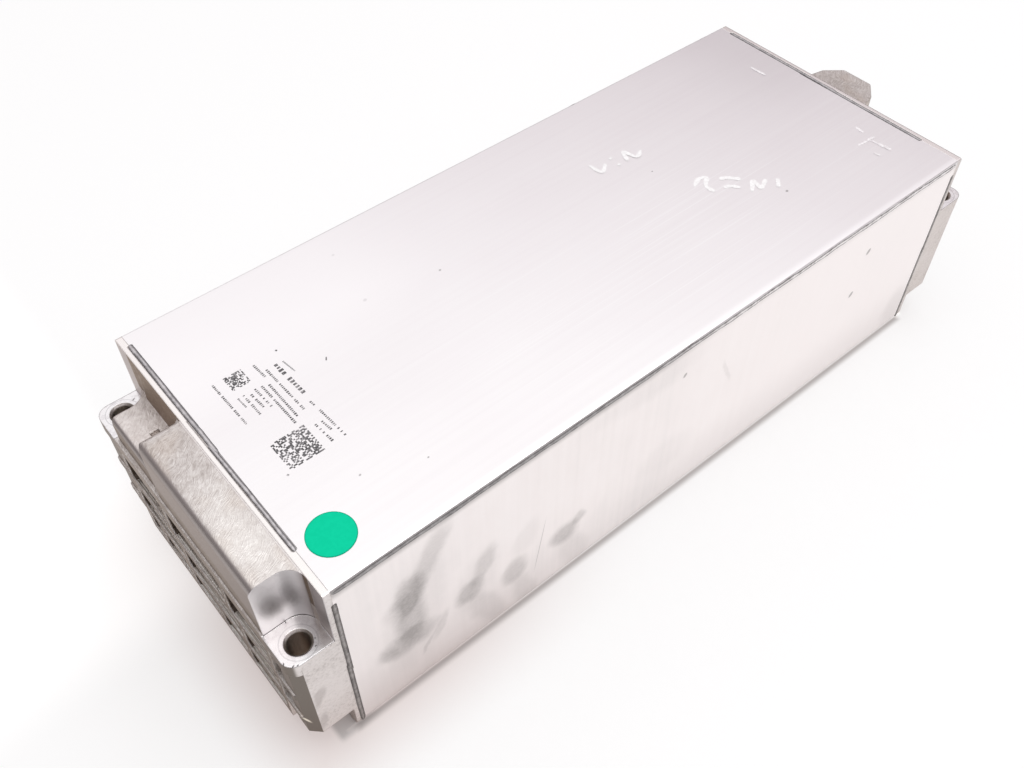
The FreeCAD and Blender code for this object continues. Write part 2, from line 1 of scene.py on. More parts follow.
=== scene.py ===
import bmesh
import bpy
import math
import numpy as np
from mathutils import Matrix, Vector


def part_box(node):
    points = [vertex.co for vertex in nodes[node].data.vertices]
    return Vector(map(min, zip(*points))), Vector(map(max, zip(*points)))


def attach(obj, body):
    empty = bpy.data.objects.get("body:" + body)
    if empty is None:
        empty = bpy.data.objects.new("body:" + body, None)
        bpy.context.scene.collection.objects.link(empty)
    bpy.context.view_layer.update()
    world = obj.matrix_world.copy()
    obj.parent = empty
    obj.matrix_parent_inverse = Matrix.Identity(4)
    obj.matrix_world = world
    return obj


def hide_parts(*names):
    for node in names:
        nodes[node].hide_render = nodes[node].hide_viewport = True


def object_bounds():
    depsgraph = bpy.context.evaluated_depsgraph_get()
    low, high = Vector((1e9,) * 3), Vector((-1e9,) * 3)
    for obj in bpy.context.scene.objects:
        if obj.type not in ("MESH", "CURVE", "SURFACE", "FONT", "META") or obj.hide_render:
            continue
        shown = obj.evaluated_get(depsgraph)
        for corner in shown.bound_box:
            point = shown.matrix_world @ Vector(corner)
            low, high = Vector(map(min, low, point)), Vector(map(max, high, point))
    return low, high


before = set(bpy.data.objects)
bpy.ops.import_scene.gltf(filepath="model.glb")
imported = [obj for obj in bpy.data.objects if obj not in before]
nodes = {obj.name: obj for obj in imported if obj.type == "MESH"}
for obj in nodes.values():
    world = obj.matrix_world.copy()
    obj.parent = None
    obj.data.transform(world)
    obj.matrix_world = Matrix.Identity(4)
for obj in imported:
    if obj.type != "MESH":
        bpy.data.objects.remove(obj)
cad_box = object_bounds()


# The view
# A phone held above the near right corner, looking down along the module. The lens is about
# as wide as a phone's, and the far end runs away from it.
camera_place = (-0.23817, -0.24211, 0.41497)
camera_right = (0.76569, -0.64321, 0.00035)
camera_down = (-0.49220, -0.58627, -0.64345)
camera_ahead = (0.41408, 0.49251, -0.76549)
focal_pixels = 1040.4
picture_width = 1024
sensor_width = 36.0

camera_data = bpy.data.cameras.new("camera")
camera_data.sensor_width = sensor_width
camera_data.lens = focal_pixels / picture_width * sensor_width
camera_data.clip_start = 0.01
camera = bpy.data.objects.new("camera", camera_data)
bpy.context.scene.collection.objects.link(camera)
axes = np.array([camera_right, -np.array(camera_down), -np.array(camera_ahead)]).T
u, _, v = np.linalg.svd(axes)
turn = np.eye(4)
turn[:3, :3] = u @ v
turn[:3, 3] = camera_place
camera.matrix_world = Matrix(turn.tolist())
bpy.context.scene.camera = camera
bpy.context.scene.view_settings.view_transform = "Standard"


# The light
# A white ceiling over the table, and a dim room all round it. Seen in the cover, the ceiling is
# white above 45 degrees and falls off to a lilac grey below. It is dimmer towards the camera.
def put(tree, kind, inputs=None, **settings):
    """Adds a node of that kind. An input is a number or colour, or the socket that it is linked from."""
    made = tree.nodes.new("ShaderNode" + kind)
    for key, value in settings.items():
        setattr(made, key, value)
    for key, value in (inputs or {}).items():
        if isinstance(value, bpy.types.NodeSocket):
            tree.links.new(value, made.inputs[key])
        else:
            made.inputs[key].default_value = value
    return made


def ramp(tree, factor, stops):
    """Colour ramp. Each stop is a place from 0 to 1 and a grey or a colour."""
    made = put(tree, "ValToRGB", {"Fac": factor})
    elements = made.color_ramp.elements
    while len(elements) < len(stops):
        elements.new(0.5)
    for element, (place, colour) in zip(elements, stops):
        element.position = place
        element.color = (colour, colour, colour, 1) if isinstance(colour, float) else (*colour, 1)
    return made.outputs["Color"]


def calculate(tree, operation, a, b=0.0, clamp=False):
    """One step of arithmetic on two numbers or sockets."""
    return put(tree, "Math", {0: a, 1: b}, operation=operation, use_clamp=clamp).outputs[0]


def spread(tree, value, low, high, out_low=0.0, out_high=1.0):
    """Maps one range to another, with a smooth step and clamped ends."""
    return put(tree, "MapRange", {"Value": value, "From Min": low, "From Max": high, "To Min": out_low,
                                  "To Max": out_high}, interpolation_type="SMOOTHSTEP").outputs[0]


world = bpy.data.worlds.new("white_ceiling")
bpy.context.scene.world = world
world.use_nodes = True
sky = world.node_tree
direction = put(sky, "TexCoord").outputs["Generated"]
height = put(sky, "SeparateXYZ", {0: direction}).outputs["Z"]
ceiling = ramp(sky, height, [
    (0.00, (0.40, 0.375, 0.37)), (0.30, (0.44, 0.41, 0.415)), (0.50, (0.60, 0.535, 0.565)),
    (0.56, (0.745, 0.68, 0.71)), (0.61, (0.94, 0.885, 0.915)), (0.66, (1.05, 1.03, 1.04)),
    (0.88, (1.05, 1.05, 1.05)), (0.97, (1.35, 1.35, 1.35))])
camera_side = (-0.70, -0.45, 0.55)
toward = put(sky, "VectorMath", {0: direction, 1: camera_side}, operation="DOT_PRODUCT").outputs["Value"]
shade = spread(sky, toward, 0.45, 0.90, 1.0, 0.62)
shaded_ceiling = put(sky, "VectorMath", {0: ceiling, "Scale": shade}, operation="SCALE").outputs[0]
background = sky.nodes["Background"]
sky.links.new(shaded_ceiling, background.inputs["Color"])
background.inputs["Strength"].default_value = 1.0

lamp_data = bpy.data.lights.new("soft_lamp", "AREA")
lamp_data.shape = "DISK"
lamp_data.size = 1.6
lamp_data.energy = 9.0
lamp = bpy.data.objects.new("soft_lamp", lamp_data)
lamp.location = (0.30, -0.60, 1.7)
lamp.rotation_euler = (math.radians(20), math.radians(10), 0)
bpy.context.scene.collection.objects.link(lamp)


# The table top
# A pale, smooth surface that the module stands on. It isn't part of the module. It carries a warm
# painted shade round the near end and a narrow painted shadow under the folds of the tray, painted
# light left of the near end and inside the folds, and a painted shadow under the near right column.
def surface(name, **values):
    """New material with its node tree and its shader, whose sockets take the given values."""
    made = bpy.data.materials.new(name)
    made.use_nodes = True
    shader = made.node_tree.nodes["Principled BSDF"]
    for key, value in values.items():
        shader.inputs[key.replace("_", " ")].default_value = value
    return made, made.node_tree, shader


def feed(shader, **sockets):
    """Links sockets into the shader's inputs, whose names are written with underscores."""
    for key, value in sockets.items():
        shader.id_data.links.new(value, shader.inputs[key.replace("_", " ")])


def mesh_piece(name, points, faces):
    """Mesh object from rows of points and lists of corners, linked into the scene."""
    data = bpy.data.meshes.new(name)
    data.from_pydata(np.asarray(points).tolist(), [], [list(map(int, face)) for face in faces])
    data.update()
    made = bpy.data.objects.new(name, data)
    bpy.context.scene.collection.objects.link(made)
    return made


def dress(piece, finish):
    """Gives a piece or a node one finish in place of what it has."""
    piece.data.materials.clear()
    piece.data.materials.append(finish)


def blend(tree, factor, a, b):
    """Mixes two colours or colour sockets."""
    made = put(tree, "Mix", data_type="RGBA")
    for index, value in ((0, factor), (6, a), (7, b)):
        if isinstance(value, bpy.types.NodeSocket):
            tree.links.new(value, made.inputs[index])
        else:
            made.inputs[index].default_value = value if index == 0 else (*value, 1)
    return made.outputs[2]


def every(*masks):
    """All of these masks at once, as their product."""
    total = masks[0]
    for mask in masks[1:]:
        total = calculate(total.node.id_data, "MULTIPLY", total, mask)
    return total


def without(mask, share=1.0):
    """What is left of 1 when a share of the mask is taken away from it."""
    tree = mask.node.id_data
    return calculate(tree, "SUBTRACT", 1.0, calculate(tree, "MULTIPLY", mask, share))


table_half = 4.0
table_drop = 0.0001
rim_inset = 0.017
lug_inset = 0.003
inner_light, open_light, fold_light = 0.10, 0.62, 0.85
table_paint, tree, shader = surface("table_white", Roughness=0.6, Specular_IOR_Level=0.2)
rays = put(tree, "LightPath").outputs
shown = calculate(tree, "MAXIMUM", rays["Is Camera Ray"], rays["Is Glossy Ray"])
split = put(tree, "SeparateXYZ", {0: put(tree, "TexCoord").outputs["Object"]}).outputs
out_x = calculate(tree, "ABSOLUTE", split["X"])
past_side = calculate(tree, "SUBTRACT", calculate(tree, "ABSOLUTE", split["Y"]), cad_box[1][1])
past_rim = calculate(tree, "SUBTRACT", out_x, cad_box[1][0] - rim_inset)
past_lugs = calculate(tree, "SUBTRACT", out_x, cad_box[1][0] - lug_inset)

# The narrow painted shadow band, from inside the edge of the fold to a little outside it, painted light
# inside the fold, and painted shade under the ends
fold_shadow = every(spread(tree, past_side, -0.0028, -0.0010), spread(tree, past_side, 0.0028, -0.0012),
                    spread(tree, out_x, 0.182, 0.178))
beside = every(spread(tree, past_side, -0.0036, -0.0024), spread(tree, out_x, 0.187, 0.183),
               spread(tree, past_side, -0.0022, 0.0, fold_light, open_light), without(fold_shadow, 0.74))
shade_under_ends = spread(tree, past_rim, -0.005, 0.0005, inner_light, open_light)
foot_light = calculate(tree, "MAXIMUM", shade_under_ends, beside)

# The painted warm shade, the painted light on the floor left of the near end, and the painted shadow
# under the near right column
shade = every(spread(tree, calculate(tree, "MAXIMUM", past_lugs, past_side), 0.034, -0.006),
              spread(tree, split["X"], -0.02, -0.16, 0.05, 1.0),
              spread(tree, split["Y"], 0.05, -0.03, 0.15, 1.0))
painted_open_light = every(spread(tree, split["X"], -0.180, -0.208), spread(tree, split["Y"], 0.0, 0.04))
painted_open_light = calculate(tree, "ADD", calculate(tree, "MULTIPLY", painted_open_light, 0.18), 1.0)
painted_column_shadow = every(spread(tree, split["X"], -0.1890, -0.1860), spread(tree, split["X"], -0.165, -0.180),
                     spread(tree, split["Y"], -0.0775, -0.0735), spread(tree, split["Y"], -0.050, -0.062))
# Where the painted shade and the painted shadow band lie, the floor is tinted warm
floor_tone = blend(tree, shade, (0.37, 0.405, 0.415), (0.40, 0.395, 0.39))
feed(shader, Base_Color=blend(tree, fold_shadow, floor_tone, (0.40, 0.375, 0.365)),
     Emission_Color=blend(tree, shade, (1, 0.945, 0.93), (0.70, 0.60, 0.58)),
     Emission_Strength=every(shown, foot_light, painted_open_light, without(painted_column_shadow, 0.6)))
table_corners = table_half * np.array([(-1, -1, 0), (1, -1, 0), (1, 1, 0), (-1, 1, 0)])
table = mesh_piece("table", table_corners - (0, 0, table_drop), [(0, 1, 2, 3)])
dress(table, table_paint)


# Housing tray
# Aluminium sheet, folded with round bottom edges. Its skin is even and slightly warm, with faint
# upright brushing. Hands and tools have smudged the right side. Painted light brightens its far half;
# painted shade darkens it towards the bottom, along the foot and over the lower near corner of the right
# side.
def place(tree):
    """Object coordinates, which are metres in the module's own frame."""
    return put(tree, "TexCoord").outputs["Object"]


def noise(tree, where, scale, detail=2.0, roughness=0.5, distortion=0.0):
    """Noise whose scale is given per metre along X, Y and Z."""
    stretched = put(tree, "Mapping", {"Vector": where, "Scale": scale}, vector_type="POINT").outputs[0]
    return put(tree, "TexNoise", {"Vector": stretched, "Scale": 1.0, "Detail": detail,
                                  "Roughness": roughness, "Distortion": distortion}).outputs["Fac"]


def warped(tree, where, scale, reach):
    """Coordinates pushed about by noise, up to that reach in metres, so that marks get ragged edges."""
    lumps = put(tree, "TexNoise", {"Vector": where, "Scale": scale, "Detail": 3.0}).outputs["Color"]
    push = put(tree, "VectorMath", {0: lumps, 1: (0.5, 0.5, 0.5)}, operation="SUBTRACT").outputs[0]
    push = put(tree, "VectorMath", {0: push, "Scale": 2 * reach}, operation="SCALE").outputs[0]
    return put(tree, "VectorMath", {0: where, 1: push}, operation="ADD").outputs[0]


def oval(tree, where, centre, half, turn, strength, edge=0.45):
    """Soft oval mark: 1 inside and 0 outside, from its centre, half sizes in mm and turn in degrees."""
    fitted = put(tree, "Mapping", {
        "Vector": where, "Location": [value / 1000 for value in centre],
        "Rotation": [math.radians(value) for value in turn],
        "Scale": [value / 1000 for value in half]}, vector_type="TEXTURE").outputs[0]
    far = put(tree, "VectorMath", {0: fitted}, operation="LENGTH").outputs["Value"]
    return spread(tree, far, 1 + edge, 1 - edge, 0.0, strength)


def gather(tree, masks):
    """Union of several masks, as their clamped sum."""
    total = masks[0]
    for mask in masks[1:]:
        total = calculate(tree, "ADD", total, mask, clamp=True)
    return total


def mixed(*parts):
    """Sum of sockets, each times its share, which is a number or another socket."""
    tree = parts[0][0].node.id_data
    total = calculate(tree, "MULTIPLY", *parts[0])
    for value, share in parts[1:]:
        total = calculate(tree, "ADD", total, calculate(tree, "MULTIPLY", value, share))
    return total


def bumps(tree, height, distance, strength, normal=None):
    """Relief from a height socket times a distance in metres, on top of the given normal if any."""
    inputs = {"Height": height, "Distance": distance, "Strength": strength}
    if normal is not None:
        inputs["Normal"] = normal
    return put(tree, "Bump", inputs).outputs[0]


right_y = -75
any_depth = 1000


def side_mark(tree, where, x, z, half_wide, half_long, lean, strength, edge=0.45):
    """Oval mark on the right side, with no depth: middle, half sizes in mm, lean in degrees, strength."""
    return oval(tree, where, (x, right_y, z), (half_wide, any_depth, half_long), (0, lean, 0),
                strength, edge)


# Smudges on the right side: middle X and Z, half width, half length, lean in degrees and strength
side_smudges = [
    (-136.0, 88, 5.2, 17, 25, 0.34), (-146.5, 73, 6.6, 11, 12, 0.50), (-147.5, 55, 6.8, 17, 4, 0.50),
    (-149.5, 40, 12.5, 7.5, 3, 0.44), (-151.5, 66, 6.5, 8, 0, 0.20), (-145, 58, 14, 34, 12, 0.16),
    (-159, 38, 6, 3.5, 60, 0.22), (-134.5, 34, 2.6, 8, 20, 0.24), (-141, 27, 6.5, 1.3, -62, 0.25),
    (-119.5, 43, 6.4, 7, 20, 0.46), (-112.5, 55, 4.6, 11, 22, 0.30), (-116, 48, 10, 18, 20, 0.13),
    (-111, 20, 6.2, 20, -23, 0.24),
    (-96.2, 33, 6.0, 8.5, 10, 0.46), (-90, 53, 6, 11, 12, 0.10), (-90.5, 12, 4.8, 15, -20, 0.22),
    (-68.5, 34, 7.8, 6.4, 35, 0.56), (-60.5, 38.5, 4.2, 4.0, 30, 0.40), (-62, 14, 7.2, 17, -23, 0.20),
    (167, 17, 8, 13, 0, 0.14), (-8, 38, 15, 11, 0, 0.07), (-25, 98, 26, 8, 0, 0.09),
    (25, 71, 1.2, 9, -25, 0.16),
]
tray_skin, tree, shader = surface("tray_sheet", Metallic=1.0)
where = place(tree)
split = put(tree, "SeparateXYZ", {0: where}).outputs
ragged = warped(tree, where, 90, 0.0030)
upright_lines = noise(tree, where, (420, 420, 7), 3.0, 0.55)
clouds = noise(tree, where, (16, 16, 11), 4.0, 0.6)
grain = noise(tree, where, (1500, 1500, 700), 2.0)
colour = ramp(tree, mixed((upright_lines, 0.25), (clouds, 0.75)), [
    (0.34, (0.905, 0.858, 0.846)), (0.50, (0.962, 0.908, 0.896)), (0.66, (0.995, 0.945, 0.935))])
# Painted light: the far half of the tray is lighter
colour = blend(tree, spread(tree, split["X"], -0.04, 0.10, 0.0, 0.7), colour, (1.0, 0.945, 0.936))
smears = gather(tree, [side_mark(tree, ragged, *smudge) for smudge in side_smudges])
mottle = spread(tree, noise(tree, where, (700, 700, 900), 3.0, 0.6), 0.36, 0.60, 0.86, 1.0)
smears = calculate(tree, "MULTIPLY", smears, mottle)
soot = every(spread(tree, split["Z"], 0.1015, 0.1062, 0.0, 0.75),
             spread(tree, split["X"], 0.02, -0.05, 0.25, 1.0))
fan = side_mark(tree, ragged, -103, -9, 54, 19, 9, 0.12, 0.3)
specks = gather(tree, [side_mark(tree, where, x, z, half, 1.5 * half, 30, 0.8, 0.3)
                       for x, z, half in ((118.1, 85.5, 1.2), (115.4, 59.2, 1.2), (-4.5, 89.5, 0.9))])
scratch = side_mark(tree, where, -82.4, 38.4, 0.28, 17, 9, 0.45, 0.3)
# Painted shade: a broad grey patch over the lower near corner of the right side
shaded_grey_corner = side_mark(tree, ragged, -150, 12, 46, 26, 0, 0.16, 0.8)
right_side = spread(tree, split["Y"], -0.0735, -0.0745)
# Smudges, specks, scratch and soot, together with the painted shade of the grey corner
dirt_and_shade = every(gather(tree, [smears, fan, specks, scratch, soot, shaded_grey_corner]), right_side)
colour = blend(tree, dirt_and_shade, colour, (0.47, 0.440, 0.430))
# Painted shade: the tray darkens towards the bottom
colour = blend(tree, spread(tree, split["Z"], 0.045, 0.003, 0.0, 0.19), colour, (0.50, 0.46, 0.455))
# Painted shadow: a dark line along the foot where the tray meets the floor
painted_foot_shadow = spread(tree, split["Z"], 0.0034, 0.0018, 0.0, 0.4)
feed(shader, Base_Color=blend(tree, painted_foot_shadow, colour, (0.20, 0.178, 0.172)),
     Roughness=calculate(tree, "ADD", mixed((clouds, 0.10), (dirt_and_shade, 0.08)), 0.40),
     Normal=bumps(tree, mixed((upright_lines, 1.0), (grain, 0.5)), 0.00002, 0.3))
dress(nodes["housing_tray"], tray_skin)


# Cover plate
# A flat sheet with fine rolling lines along the module. Welding has drawn its long edges down a
# little, so that they catch more light. It carries small specks and a few pale rubs, a painted highlight
# near the left of the near end, and painted shade at the far left and along its rounded edges.
edge_roll = 3.4
roll_drop = 0.42
half_width = 0.075
cover_top = 108.5
cover_specks = [
    (-89.7, 28.8, 0.7), (-84.7, 59.9, 0.6), (-55.2, 23.0, 0.5), (97.6, -37.5, 0.6), (-141.5, -42.5, 0.4),
    (-118.0, -52.0, 0.35), (60.5, 12.0, 0.35),
]
cover_skin, tree, shader = surface("cover_sheet", Metallic=1.0)
where = place(tree)
split = put(tree, "SeparateXYZ", {0: where}).outputs
rolling = noise(tree, where, (4, 620, 620), 3.0, 0.6)
hairlines = noise(tree, where, (24, 2600, 2600), 2.0)
clouds = noise(tree, where, (12, 18, 18), 3.0)
colour = ramp(tree, mixed((rolling, 0.40), (clouds, 0.60)), [
    (0.32, (0.915, 0.886, 0.896)), (0.50, (0.935, 0.910, 0.918)), (0.66, (0.950, 0.930, 0.936))])
bright = oval(tree, warped(tree, where, 90, 0.002), (50, -32, cover_top), (120, 36, any_depth),
              (0, 0, 0), 1.0, 0.6)
lines = spread(tree, noise(tree, where, (9, 1300, 1300), 1.0), 0.58, 0.74, 0.0, 0.75)
colour = blend(tree, every(bright, lines), colour, (0.985, 0.975, 0.980))
specks = gather(tree, [
    oval(tree, where, (x, y, cover_top), (1.3 * half, half, any_depth), (0, 0, 20), 0.7, 0.35)
    for x, y, half in cover_specks])
colour = blend(tree, specks, colour, (0.36, 0.34, 0.34))
# Painted highlight: the near left of the cover is lighter
near_left_highlight = every(spread(tree, split["X"], -0.03, -0.10), spread(tree, split["Y"], 0.0, 0.04, 0.0, 0.85))
colour = blend(tree, near_left_highlight, colour, (1.0, 0.985, 0.99))
# Painted shade: the far left of the cover is darker
far_left_shade = every(spread(tree, split["X"], 0.11, 0.17), spread(tree, split["Y"], -0.02, 0.04, 0.0, 0.8))
colour = blend(tree, far_left_shade, colour, (0.85, 0.82, 0.832))
left_edge = every(spread(tree, split["Y"], 0.0741, 0.0745),
                  spread(tree, split["X"], -0.14, -0.07, 0.0, 0.6))
colour = blend(tree, left_edge, colour, (0.40, 0.38, 0.39))
# Painted shade along the rounded top edges of the sheet, stronger at the near end
sheet_edge_shade = every(spread(tree, split["Z"], 0.1084, 0.1080),
                   spread(tree, split["X"], 0.06, -0.05, 0.35, 1.0))
from_edge = calculate(tree, "ADD", half_width, split["Y"])
across_roll = calculate(tree, "MULTIPLY", from_edge, 1000 / edge_roll, clamp=True)
drop = calculate(tree, "POWER", calculate(tree, "SUBTRACT", 1.0, across_roll), 1.6)
rolled_edge = bumps(tree, calculate(tree, "MULTIPLY", drop, -roll_drop), 0.001, 1.0)
feed(shader, Base_Color=blend(tree, sheet_edge_shade, colour, (0.34, 0.32, 0.32)),
     Roughness=calculate(tree, "ADD", calculate(tree, "MULTIPLY", rolling, 0.10), 0.26),
     Normal=bumps(tree, mixed((rolling, 1.0), (hairlines, 0.5)), 0.00003, 0.4, rolled_edge))
dress(nodes["cover_plate"], cover_skin)


# End plates
# Die-cast aluminium with a finely swirled, stained skin, smoother on the end faces. Painted shade
# darkens the end faces, the rounded top edges, the fronts of the columns and the rib fronts, and lies brown
# in the pockets between the ribs and on the draft wall; the shelf tops carry painted light and the column
# fronts painted glints. The bolt lugs, the walls over them and the rim tops are milled.
seat_drop = 0.0315
seat_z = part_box("near_end_plate")[1][2] - seat_drop

# The face of the rim, the front of the shelves, the inner side of the columns and the bolt holes
rim_x, shelf_x, column_y = 0.179, 0.198, 0.058
hole_middle = (0.189, 0.0672)
cast, tree, shader = surface("cast_skin", Metallic=1.0, Specular_Tint=(0.66, 0.60, 0.56, 1))
where = place(tree)
split = put(tree, "SeparateXYZ", {0: where}).outputs
facing = put(tree, "SeparateXYZ", {0: put(tree, "NewGeometry").outputs["Normal"]}).outputs
out_x = calculate(tree, "ABSOLUTE", split["X"])
out_y = calculate(tree, "ABSOLUTE", split["Y"])
face_x = calculate(tree, "ABSOLUTE", facing["X"])
face_y = calculate(tree, "ABSOLUTE", facing["Y"])
flat_up = spread(tree, facing["Z"], 0.80, 0.95)
steep = spread(tree, facing["Z"], 0.60, 0.40)

# The blasted skin: swirls, strokes and stains, with two paler rubs on the tops
swirl = noise(tree, warped(tree, where, 180, 0.0026), (420, 300, 420), 5.0, 0.65, 0.5)
brushed = put(tree, "Mapping", {"Vector": warped(tree, where, 55, 0.007),
                                "Rotation": (0, 0, math.radians(-35))}).outputs[0]
strokes = noise(tree, brushed, (190, 2100, 900), 3.0, 0.6)
stain = noise(tree, where, (42, 34, 42), 4.0, 0.6)
lengthwise = noise(tree, where, (2400, 22, 2400), 2.0, 0.6)
speck = noise(tree, where, (1100, 1100, 1100), 2.0)
colour = ramp(tree, mixed((swirl, 0.30), (strokes, 0.42), (stain, 0.28)), [
    (0.38, (0.48, 0.435, 0.41)), (0.46, (0.61, 0.565, 0.54)), (0.54, (0.73, 0.69, 0.665)),
    (0.62, (0.88, 0.85, 0.825))])
brown = spread(tree, noise(tree, where, (60, 50, 60), 3.0), 0.50, 0.66, 0.0, 0.35)
colour = blend(tree, brown, colour, (0.62, 0.53, 0.46))
for middle, half, strength, rubbed in (
        ((-187, -38, 108), (9, 22, 6), 0.55, (0.93, 0.895, 0.86)),
        ((-188, 34, 88), (11, 26, 5), 0.50, (0.96, 0.89, 0.855))):
    rub = oval(tree, warped(tree, where, 90, 0.004), middle, half, (0, 0, 0), strength, 0.8)
    colour = blend(tree, rub, colour, rubbed)

# Painted shade on the end faces, the rounded top edges and the fronts of the columns under the lugs,
# painted glints on those fronts, and hand marks on the outer sides of the columns
end_face = every(spread(tree, face_x, 0.30, 0.75), spread(tree, out_x, 0.1795, 0.1799))
# Painted shade: the end faces are darker and browner
end_shade_tone = ramp(tree, mixed((stain, 0.35), (lengthwise, 0.45), (speck, 0.2)), [
    (0.40, (0.22, 0.192, 0.168)), (0.60, (0.33, 0.295, 0.262))])
colour = blend(tree, end_face, colour, end_shade_tone)
# Painted shade on the rounded top edges of the block and the step
top_round_shade = every(spread(tree, out_x, 0.1915, 0.1930), spread(tree, split["Z"], 0.0860, 0.0870),
                  spread(tree, facing["Z"], 0.97, 0.80))
colour = blend(tree, top_round_shade, colour, (0.36, 0.33, 0.32))
# Painted shade on the fronts of the columns under the lugs
column_front_shade = every(spread(tree, out_y, column_y - 0.0001, column_y + 0.0003),
                   spread(tree, split["Z"], seat_z, seat_z - 0.0003),
                   spread(tree, out_x, 0.1895, 0.1905), spread(tree, face_y, 0.995, 0.95),
                   spread(tree, facing["Z"], 0.6, 0.4))
colour = blend(tree, column_front_shade, colour, (0.215, 0.198, 0.182))
# Painted glints: small bright spots on those fronts
painted_glints = gather(tree, [
    oval(tree, where, (-197.5, y, z), (3, half_wide, half_long), (lean, 0, 0), 1.0, 0.5)
    for y, z, half_wide, half_long, lean in (
        (-69.8, 31.5, 0.6, 1.5, 20), (-71.6, 28.5, 0.5, 2.4, -25), (-68.2, 24.0, 0.4, 1.8, 10))])
colour = blend(tree, calculate(tree, "MULTIPLY", painted_glints, column_front_shade), colour, (1.0, 0.96, 0.84))
column = every(spread(tree, face_y, 0.7, 0.95), spread(tree, out_y, 0.0735, 0.0745))
column_tone = ramp(tree, mixed((speck, 0.5), (stain, 0.5)), [
    (0.36, (0.64, 0.60, 0.585)), (0.46, (0.78, 0.74, 0.725)), (0.60, (0.85, 0.81, 0.80))])
hand_marks = gather(tree, [
    oval(tree, warped(tree, where, 150, 0.0025), (x, right_y, z), (half_wide, 3, half_long), (0, lean, 0),
         strength)
    for x, z, half_wide, half_long, lean, strength in (
        (-190.3, 46, 2.4, 6.5, 20, 0.55), (-191.5, 27, 2.0, 6, 10, 0.45))])
colour = blend(tree, column, colour, blend(tree, hand_marks, column_tone, (0.50, 0.465, 0.455)))

# The pockets between the ribs with painted brown shade on their walls, painted light on the shelf
# tops, and painted shade on the rib fronts and the draft wall
pocket = every(spread(tree, out_x, shelf_x - 0.0004, shelf_x - 0.0008),
               spread(tree, out_x, rim_x + 0.0013, rim_x + 0.0016),
               spread(tree, out_y, column_y - 0.0001, column_y - 0.0004),
               spread(tree, split["Z"], 0.0700, 0.0696))
# Painted light on the up-facing shelf tops, painted shade on the other pocket faces
lit_shelf_tone = ramp(tree, lengthwise, [
    (0.40, (0.41, 0.355, 0.31)), (0.52, (0.62, 0.56, 0.505)), (0.60, (0.95, 0.92, 0.88))])
colour = blend(tree, pocket, colour, blend(tree, flat_up, (0.15, 0.118, 0.095), lit_shelf_tone))
# Painted shade on the rib fronts
rib_faces = every(end_face, spread(tree, out_y, column_y + 0.0003, column_y - 0.0001),
                  spread(tree, split["Z"], 0.0712, 0.0700))
rib_shade_tone = blend(tree, spread(tree, lengthwise, 0.52, 0.62), (0.150, 0.122, 0.100), (0.50, 0.455, 0.41))
colour = blend(tree, rib_faces, colour, rib_shade_tone)
# Painted brown shade on the draft wall
draft_wall = every(spread(tree, out_x, rim_x + 0.0015, rim_x + 0.0011),
                   spread(tree, out_x, rim_x - 0.0002, rim_x),
                   spread(tree, split["Z"], 0.0880, 0.0884), spread(tree, split["X"], -0.10, -0.11),
                   spread(tree, out_y, 0.0660, 0.0652), steep)
colour = blend(tree, draft_wall, colour, (0.27, 0.215, 0.175))

# What is milled: the lug tops with a scribed ring and burrs, the walls of the wrench pockets with a
# thin line of painted shade at their foot, the bores, and the tops of the rims
over_lug = every(spread(tree, out_x, rim_x - 0.0003, rim_x - 0.0001), spread(tree, out_y, 0.0568, 0.0571),
                 spread(tree, split["Z"], seat_z - 0.0002, seat_z - 0.0001))
lug_top = every(over_lug, flat_up, spread(tree, split["Z"], seat_z + 0.0014, seat_z + 0.0010))
rim_top = every(spread(tree, split["Z"], 0.1080, 0.1083),
                spread(tree, out_x, rim_x + 0.0008, rim_x + 0.0002))
rim_front = every(spread(tree, out_x, rim_x + 0.0004, rim_x + 0.0002), spread(tree, out_y, 0.0664, 0.0654))
pocket_wall = every(over_lug, steep, without(rim_front))
hole_x = calculate(tree, "SUBTRACT", out_x, hole_middle[0])
hole_y = calculate(tree, "SUBTRACT", out_y, hole_middle[1])
from_hole = calculate(tree, "SQRT", mixed((hole_x, hole_x), (hole_y, hole_y)))
bore = every(spread(tree, from_hole, 0.0048, 0.0046), steep)
milling = noise(tree, where, (420, 420, 420), 3.0, 0.6)
milled_tone = ramp(tree, milling, [(0.38, (0.80, 0.775, 0.785)), (0.52, (0.90, 0.885, 0.89))])
wall_tone = ramp(tree, stain, [(0.40, (0.58, 0.555, 0.565)), (0.60, (0.68, 0.655, 0.66))])
for mask, tone in ((pocket_wall, wall_tone), (lug_top, milled_tone), (rim_top, (0.95, 0.91, 0.89)),
                   (bore, (0.80, 0.745, 0.69))):
    colour = blend(tree, mask, colour, tone)
scribed = every(spread(tree, from_hole, 0.0067, 0.0069), spread(tree, from_hole, 0.0074, 0.0071), lug_top)
# Painted shade: a thin dark line where the pocket walls meet the lug tops
foot = every(pocket_wall, spread(tree, split["Z"], seat_z + 0.0006, seat_z + 0.0003))
burrs = gather(tree, [
    oval(tree, where, (x, y, 1000 * seat_z), (long, 0.22, 2), (0, 0, turn), 0.9, 0.3)
    for x, y, long, turn in (
        (-188.3, -57.7, 0.5, 70), (-195.4, -73.7, 0.7, 20), (-193.9, -74.4, 0.5, 10),
        (-197.4, -70.9, 0.6, 60), (-182.2, 70.9, 0.8, 30), (-183.6, -69.5, 0.35, 60),
        (-185.0, -72.2, 0.4, 20))])
burrs = calculate(tree, "MULTIPLY", burrs, lug_top)
colour = blend(tree, calculate(tree, "MULTIPLY", scribed, 0.30), colour, (0.35, 0.34, 0.36))
colour = blend(tree, gather(tree, [foot, burrs]), colour, (0.10, 0.09, 0.09))

